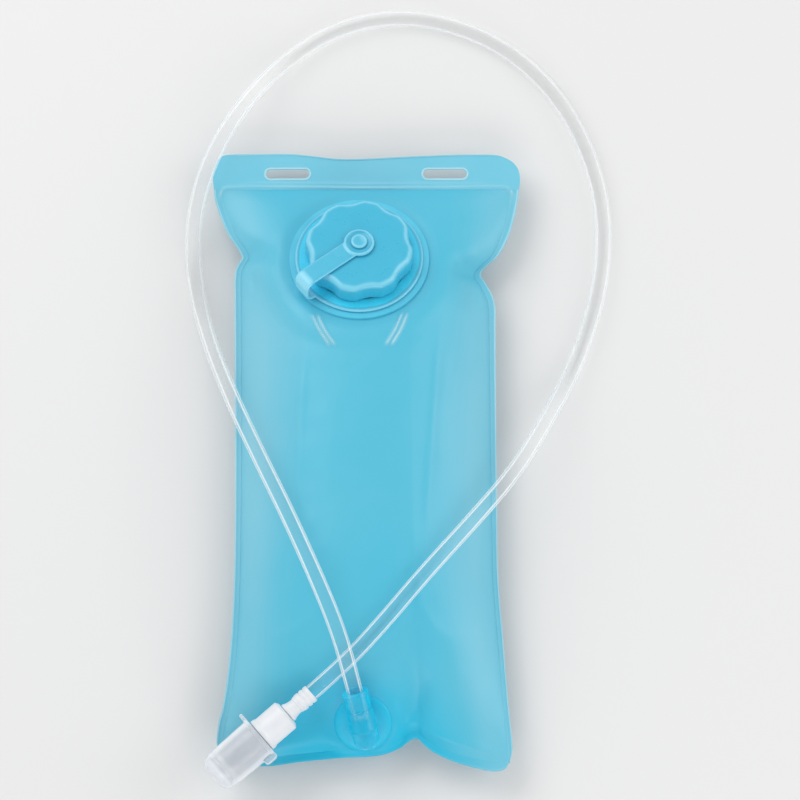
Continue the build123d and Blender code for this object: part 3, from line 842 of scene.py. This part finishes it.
def by_neck(out, side, up):
    """Place at these distances along the strap, across it and up the neck's axis."""
    return (NECK + out * strap_way + side * strap_side + up * neck_up) * MM


def turned(place, profile, count, start=0.0):
    """Closed shape about an axis from a profile of radius and height; a radius can vary with the angle."""
    points = []
    for step in range(count):
        turn = start + 2 * pi * step / count
        for radius, up in profile:
            reach = radius(turn) if callable(radius) else radius
            points.append(place(reach * cos(turn), reach * sin(turn), up))
    return points, ring_faces(count, len(profile), closed=True)


def gathered(parts):
    """One list of points and faces from several."""
    vertices, faces = [], []
    for points, quads in parts:
        faces += [tuple(index + len(vertices) for index in quad) for quad in quads]
        vertices += points
    return vertices, faces


def melted(piece, voxel, rounds):
    """Overlapping closed shapes melted into one soft moulding."""
    paint = piece.data.materials[0]
    melt = piece.modifiers.new("melt", "REMESH")
    melt.mode = "VOXEL"
    melt.voxel_size = voxel * MM
    soften = piece.modifiers.new("soften", "SMOOTH")
    soften.factor = 0.5
    soften.iterations = rounds
    finished(piece)
    piece.data.materials.clear()
    piece.data.materials.append(paint)
    piece.data.shade_smooth()
    return piece


def grip(inset):
    """Radius of the cap at each angle, less an inset: eight shallow scallops with soft corners."""
    middle = CAP_RADIUS - GRIP_DEPTH + GRIP_RADIUS

    def radius(turn):
        off = (turn - GRIP_TURN + GRIP_APART / 2) % GRIP_APART - GRIP_APART / 2
        scallop = middle * cos(off) - (GRIP_RADIUS**2 - (middle * sin(off)) ** 2) ** 0.5
        return float(soft_min(scallop, CAP_RADIUS, 1.6)) - inset
    return radius


def build_cap(paint):
    """Screw cap with a rounded rim to its crown and the stud that holds the tether's eye, the crown's rim
    and the stud's head painted paler as a highlight.
    """
    count, stud_count = 360, 72
    outside = [(AXIS_GAP, CAP_CROWN), (12.0, CAP_CROWN), (grip(4.2), CAP_CROWN), (grip(3.1), CAP_CROWN),
               (grip(2.6), CAP_CROWN - 0.1), (grip(1.9), CAP_CROWN - 0.5), (grip(1.2), CAP_CROWN - 1.05),
               (grip(0.6), CAP_CROWN - 1.65), (grip(0.2), CAP_CROWN - 2.3), (grip(0.0), CAP_CROWN - 3.2),
               (grip(0.0), 11.0), (grip(0.0), CAP_FOOT + 0.8), (grip(0.2), CAP_FOOT + 0.25),
               (grip(0.6), CAP_FOOT)]
    inside = [(CAP_BORE + 0.4, CAP_FOOT), (CAP_BORE, CAP_FOOT + 0.4), (CAP_BORE, CAP_CEILING - 0.2),
              (CAP_BORE - 0.4, CAP_CEILING), (12.0, CAP_CEILING), (AXIS_GAP, CAP_CEILING)]
    stud = [(AXIS_GAP, 17.0), (3.0, 17.0), (3.0, 20.1), (4.4, 20.1), (4.8, 20.5), (4.8, 21.0), (4.5, 21.4),
            (4.0, 21.6), (3.5, 21.55), (2.9, 21.3), (AXIS_GAP, 21.25)]
    vertices, faces = gathered((turned(by_neck, outside + inside, count, start=-STRAP_ANGLE),
                                turned(by_neck, stud, stud_count)))
    # Painted highlights: the crown's rounded rim and the stud's head are painted paler
    painted_cap_highlight = [0.0] * 3 + [0.15, 0.5, 0.7, 0.6, 0.4, 0.2, 0.05] + [0.0] * 10
    painted_stud_highlight = [0.0, 0.0, 0.0, 0.2, 0.4, 0.5, 0.7, 0.7, 0.5, 0.2, 0.1]
    tint = np.array(painted_cap_highlight * count + painted_stud_highlight * stud_count)
    settle(welded(mesh_object("screw_cap", vertices, faces, paint, tint)), "cap", "cap_plastic", "cap")


def strap(path, width, thickness, around):
    """Soft-edged flat strap along a path of distance out and height."""
    line = catmull(path, 120)
    points = []
    for index, (out, up) in enumerate(line.tolist()):
        ahead = Vector(line[min(index + 1, len(line) - 1)] - line[max(index - 1, 0)]).normalized()
        for step in range(around):
            turn = 2 * pi * step / around
            side = width / 2 * copysign(abs(cos(turn)) ** 0.4, cos(turn))
            lift = thickness / 2 * copysign(abs(sin(turn)) ** 0.7, sin(turn))
            points.append(by_neck(out - ahead.y * lift, side, up + ahead.x * lift))
    return points, tube_faces(len(line), around)


def build_tether(paint):
    """Ring round the neck, folded strap and eye, melted into one soft moulding, its edges painted paler as
    highlights.
    """
    ring = [(29.4, 1.9), (37.4, 1.9), (38.0, 2.4), (38.0, 3.3), (37.4, 3.9), (29.6, 3.9), (29.1, 3.5),
            (29.1, 2.3)]
    eye = [(3.6, 17.95), (8.5, 17.95), (9.1, 18.5), (9.1, 19.7), (8.6, 20.4), (7.7, 20.4), (7.0, 19.7),
           (3.6, 19.5), (3.4, 19.2), (3.4, 18.2)]
    fold = [(5.5, 18.85), (20, 18.85), (34, 18.85), (38.6, 18.6), (41.4, 17.2), (42.6, 14.6), (42.7, 11.0),
            (42.6, 7.4), (41.4, 4.6), (39.0, 3.1), (36.0, 2.9), (33.5, 2.9)]
    band_shape = strap(fold, width=12.0, thickness=1.9, around=24)
    vertices, faces = gathered((turned(by_neck, ring, 160), turned(by_neck, eye, 72), band_shape))
    piece = melted(mesh_object("cap_strap", vertices, faces, paint), voxel=0.42, rounds=5)
    places = places_from(piece, NECK)
    out, side, up = (places @ np.array(way) for way in (strap_way, strap_side, neck_up))
    reach = np.hypot(out, side)
    high = up > 12
    # Painted highlights: paler along the strap's end and sides, round the eye and on the ring's outer edge
    tint = 0.95 * smoothstep(36.5, 41, out) * (np.abs(side) < 8)
    tint = np.maximum(tint, 0.55 * smoothstep(4.6, 5.9, np.abs(side)) * high * (out > 7.5) * (out < 38))
    tint = np.maximum(tint, 0.7 * smoothstep(7.2, 8.4, reach) * (reach < 9.6) * high)
    tint = np.maximum(tint, 0.75 * smoothstep(36.4, 37.8, reach) * ~high)
    # Painted light: the ring is painted a brighter blue under the cap, to lift the cap's shade on it
    base = 0.12 * np.maximum(high, smoothstep(35.0, 36.6, reach))
    set_tint(piece.data, base + 0.8 * tint)
    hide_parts("cap_tether")
    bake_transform(piece)


# ---------------------------------------------------------------- outlet, from the seat of its hose
hose_seat, hose_next = (Vector(HOSE_ROUTE[index]) / MM for index in (0, 1))
barrel_ahead = (hose_next - hose_seat).normalized()
barrel_side = Vector((1, 0, 0)).cross(barrel_ahead).normalized()
barrel_up = barrel_ahead.cross(barrel_side)
outlet_up = Vector((0, sin(OUTLET_LEAN), cos(OUTLET_LEAN)))
outlet_ahead = Vector((0, cos(OUTLET_LEAN), -sin(OUTLET_LEAN)))


def by_barrel(side, up, ahead):
    """Place at these distances beside the barrel's axis, above it and along it."""
    return (hose_seat + side * barrel_side + up * barrel_up + ahead * barrel_ahead) * MM


def by_outlet(right, ahead, up):
    """Place at these distances across the outlet's flange, along it and out of it."""
    return (OUTLET + right * Vector((1, 0, 0)) + ahead * outlet_ahead + up * outlet_up) * MM


def build_outlet(paints):
    """Clear barrel with its locking collar, cut off level with the film, and the flange with its riser."""
    barrel = [(AXIS_GAP, -20.0), (2.3, -20.0), (4.4, -19.4), (6.1, -18.1), (7.2, -16.4), (7.7, -14.5),
              (7.75, -8.4), (8.1, -8.0), (8.1, -6.8), (7.75, -6.4), (7.75, 4.5), (7.55, 5.1), (7.0, 5.5),
              (7.0, 6.3), (7.4, 6.7), (7.6, 7.2), (7.6, 14.2), (7.85, 14.6), (7.85, 15.6), (7.5, 16.4),
              (6.8, 17.0), (4.82, 17.0)]
    flange = [(AXIS_GAP, 7.0), (6.0, 7.0), (6.7, 6.4), (7.2, 3.2), (8.6, 1.7), (11.0, 1.5), (14.0, 1.4),
              (15.8, 1.0), (16.8, 0.4), (17.0, -0.3), (AXIS_GAP, -0.3)]
    piece = mesh_object("outlet_barrel", *turned(by_barrel, barrel, 96), paints["port_plastic"])
    shape = bmesh.new()
    shape.from_mesh(piece.data)
    cut = bmesh.ops.bisect_plane(shape, geom=shape.verts[:] + shape.edges[:] + shape.faces[:],
                                 plane_co=by_outlet(0, 0, 0.4), plane_no=outlet_up, clear_inner=True)
    rim = [edge for edge in cut["geom_cut"] if isinstance(edge, bmesh.types.BMEdge)]
    bmesh.ops.holes_fill(shape, edges=rim)
    bmesh.ops.remove_doubles(shape, verts=shape.verts, dist=MERGE * MM)
    shape.to_mesh(piece.data)
    shape.free()
    piece.data.shade_smooth()
    piece.data.set_sharp_from_angle(angle=SHARP_ANGLE)
    settle(piece, "bag", "port_plastic", "outlet_port", "outlet_collar")
    disc = mesh_object("outlet_flange", *turned(by_outlet, flange, 128), paints["flange_plastic"])
    settle(welded(disc), "bag", "port_plastic", "outlet_port")


# ---------------------------------------------------------------- mouthpiece, from its hose collar
route_end, route_before = (Vector(HOSE_ROUTE[index]) / MM for index in (-1, -2))
mouth_ahead = (route_end - route_before).normalized()
mouth_side = Vector((0, 0, 1)).cross(mouth_ahead).normalized()
mouth_up = mouth_ahead.cross(mouth_side)
COLLAR_LENGTH = 9.4
mouth_start = route_end - COLLAR_LENGTH * mouth_ahead


def by_mouth(side, up, ahead):
    """Place at these distances beside the mouthpiece's axis, above it and along it."""
    return (mouth_start + side * mouth_side + up * mouth_up + ahead * mouth_ahead) * MM


def pillow(middle, half):
    """Rounded block with these half sizes."""
    power, count = 0.5, 28
    points = []
    for ring in range(count + 1):
        rise = pi * (ring / count - 0.5)
        for step in range(2 * count):
            turn = pi * step / count
            shares = (cos(rise) * cos(turn), cos(rise) * sin(turn), sin(rise))
            points.append(by_mouth(*(place + size * copysign(abs(share) ** power, share)
                                     for place, size, share in zip(middle, half, shares))))
    return points, ring_faces(count + 1, 2 * count)


def eyelet(middle, radius, thickness):
    """Small round ring that lies across the mouthpiece's axis, a little thicker along it."""
    count, around = 48, 16
    points = []
    for step in range(count):
        turn = 2 * pi * step / count
        for lap in range(around):
            roll = 2 * pi * lap / around
            reach = radius + thickness * cos(roll)
            points.append(by_mouth(middle[0] + reach * cos(turn), middle[1] + reach * sin(turn),
                                   middle[2] + 1.1 * sin(roll)))
    return points, ring_faces(count, around, closed=True)


def build_mouthpiece(paints):
    """Grooved hose collar, and the frosted dust cover with its rounded tab and eyelet."""
    collar = [(4.87, 0.3), (5.3, 0.0), (5.6, 0.4), (5.6, 2.3), (5.15, 2.7), (5.15, 3.3), (5.6, 3.7),
              (5.6, 5.3), (5.15, 5.7), (5.15, 6.3), (5.6, 6.7), (5.6, 9.0), (5.3, COLLAR_LENGTH),
              (4.87, 9.3)]
    clamp = mesh_object("hose_clamp", *turned(by_mouth, collar, 96), paints["white_plastic"])
    clamp.data.set_sharp_from_angle(angle=SHARP_ANGLE)
    settle(clamp, "bag", "white_plastic", "hose_collar")
    wall = [(11.6, 38.8), (13.3, 38.8), (13.6, 39.2), (13.6, 40.7), (13.2, 41.1), (12.8, 41.4), (12.7, 44),
            (12.6, 52), (12.35, 62), (12.2, 66.6), (11.8, 67.2), (11.75, 69.4), (11.3, 71.6), (10.3, 73.6),
            (8.7, 75.1), (6.4, 75.9), (AXIS_GAP, 76.0), (AXIS_GAP, 74.7), (6.2, 74.6), (8.0, 73.8),
            (9.4, 72.2), (10.4, 69.6), (11.3, 62), (11.55, 48)]
    tab = pillow(middle=(12.9, 0, 43.0), half=(2.8, 4.5, 4.3))
    hole = eyelet(middle=(-14.6, 0, 39.95), radius=2.35, thickness=0.95)
    vertices, faces = gathered((turned(by_mouth, wall, 180), tab, hole))
    cover = melted(mesh_object("dust_cap", vertices, faces, paints["cover_plastic"]), voxel=0.34, rounds=3)
    # The tip and the flange are thicker, so less clear
    ahead = places_from(cover, mouth_start) @ np.array(mouth_ahead)
    set_tint(cover.data, 0.75 * smoothstep(67, 71, ahead) + 0.3 * smoothstep(42, 41, ahead))
    settle(cover, "cover", "cover_plastic", "dust_cover")
    return clamp, cover


# ---------------------------------------------------------------- make everything
place_camera()
materials = make_materials()
hose, hose_points = hose_mesh(materials["hose_tube"])
hose_clamp, dust_cap = build_mouthpiece(materials)
settle(hose, "bag", "hose_tube", "hose")
build_bag(materials)
build_header(materials)
build_cap(materials["cap_plastic"])
build_tether(materials["tether_plastic"])
build_outlet(materials)
for entry in frame["record"]["subparts"]:
    paint = materials.get(entry["node"], materials[entry["material_slot"]])
    for slot in nodes[entry["node"]].material_slots:
        slot.material = paint
place_floor()
place_lights()
